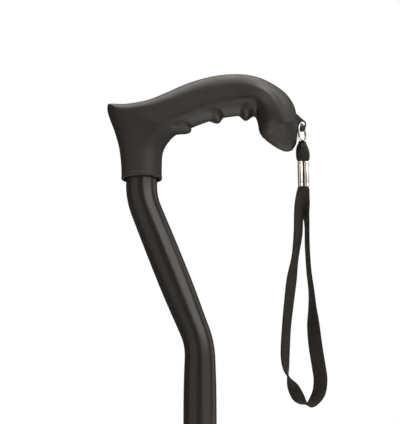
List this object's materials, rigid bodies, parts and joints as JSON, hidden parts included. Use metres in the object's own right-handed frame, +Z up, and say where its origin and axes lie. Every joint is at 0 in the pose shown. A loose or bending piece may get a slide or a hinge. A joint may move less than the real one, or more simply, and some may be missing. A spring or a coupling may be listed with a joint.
{
  "type": "quad walking cane",
  "caption": "Offset walking cane with a contoured grip, wrist loop, push-button height adjustment, locking collar and a splayed quad base on rubber tips.",
  "frame": {"origin": "on the floor, at the centre of the four feet (bottom centre of the bounding box)", "axes": "+Z up along the shaft; +X towards the grip's nose; the user stands on the -Y side"},
  "size_m": [0.2032, 0.1531, 0.8381],
  "materials": {
    "grip": "matte",
    "core_plastic": "matte",
    "zinc": "satin",
    "chrome_ring": "polished",
    "chrome_ferrule": "polished",
    "tape": "matte",
    "shaft_gloss": "gloss",
    "collet_plastic": "satin",
    "collar_plastic": "satin",
    "white_plastic": "satin",
    "lower_shaft": "gloss",
    "spring_steel": "satin",
    "button_metal": "polished",
    "hub": "satin",
    "leg_paint": "gloss",
    "rubber": "matte"
  },
  "bodies": {
    "base": {"lower_tube": "lower_shaft", "tube_bushing": "white_plastic", "snap_spring": "spring_steel", "base_hub": "hub", "hub_bolt": "zinc", "hub_washers": "zinc", "hub_nut": "zinc", "leg_front_inner": "leg_paint", "leg_front_outer": "leg_paint", "leg_rear_inner": "leg_paint", "leg_rear_outer": "leg_paint", "leg_pins": "zinc", "tip_front_inner": "rubber", "tip_front_outer": "rubber", "tip_rear_inner": "rubber", "tip_rear_outer": "rubber", "tip_washers": "zinc"},
    "glide": {"glide_ring": "white_plastic"},
    "upper_shaft": {"upper_tube": "shaft_gloss", "lock_collet": "collet_plastic", "handle_grip": "grip", "handle_core": "core_plastic", "handle_pin": "zinc"},
    "collar": {"lock_collar": "collar_plastic"},
    "button": {"snap_button": "button_metal"},
    "ring": {"strap_ring": "chrome_ring"},
    "strap": {"strap_ferrule": "chrome_ferrule", "strap_top_loop": "tape", "wrist_strap": "tape"}
  },
  "joints": [
    {"name": "height_adjust", "type": "slide", "parent": "base", "child": "glide", "axis": [0, 0, 1], "range_m": [-0.0762, 0.0762]},
    {"name": "shaft_turn", "type": "hinge", "parent": "glide", "child": "upper_shaft", "pos_m": [0, -0.028, 0.23], "axis": [0, 0, 1], "range_deg": [-180, 180], "deforming": ["snap_button", "snap_spring"]},
    {"name": "collar_turn", "type": "hinge", "parent": "upper_shaft", "child": "collar", "pos_m": [0, -0.028, 0.23], "axis": [0, 0, 1], "range_deg": [-180, 0]},
    {"name": "button_press", "type": "slide", "parent": "base", "child": "button", "axis": [0, 1, 0], "range_m": [0, 0.0046], "stiffness_N_per_m": 2500, "springref_m": -0.0006, "deforming": ["snap_spring"]},
    {"name": "ring_swing", "type": "hinge", "parent": "upper_shaft", "child": "ring", "pos_m": [0.0717, -0.028, 0.8028], "axis": [0, 1, 0], "range_deg": [-75, 0]},
    {"name": "strap_swing", "type": "hinge", "parent": "ring", "child": "strap", "pos_m": [0.0717, -0.028, 0.7878], "axis": [0.4226, 0.9063, 0], "range_deg": [-60, 8]}
  ]
}
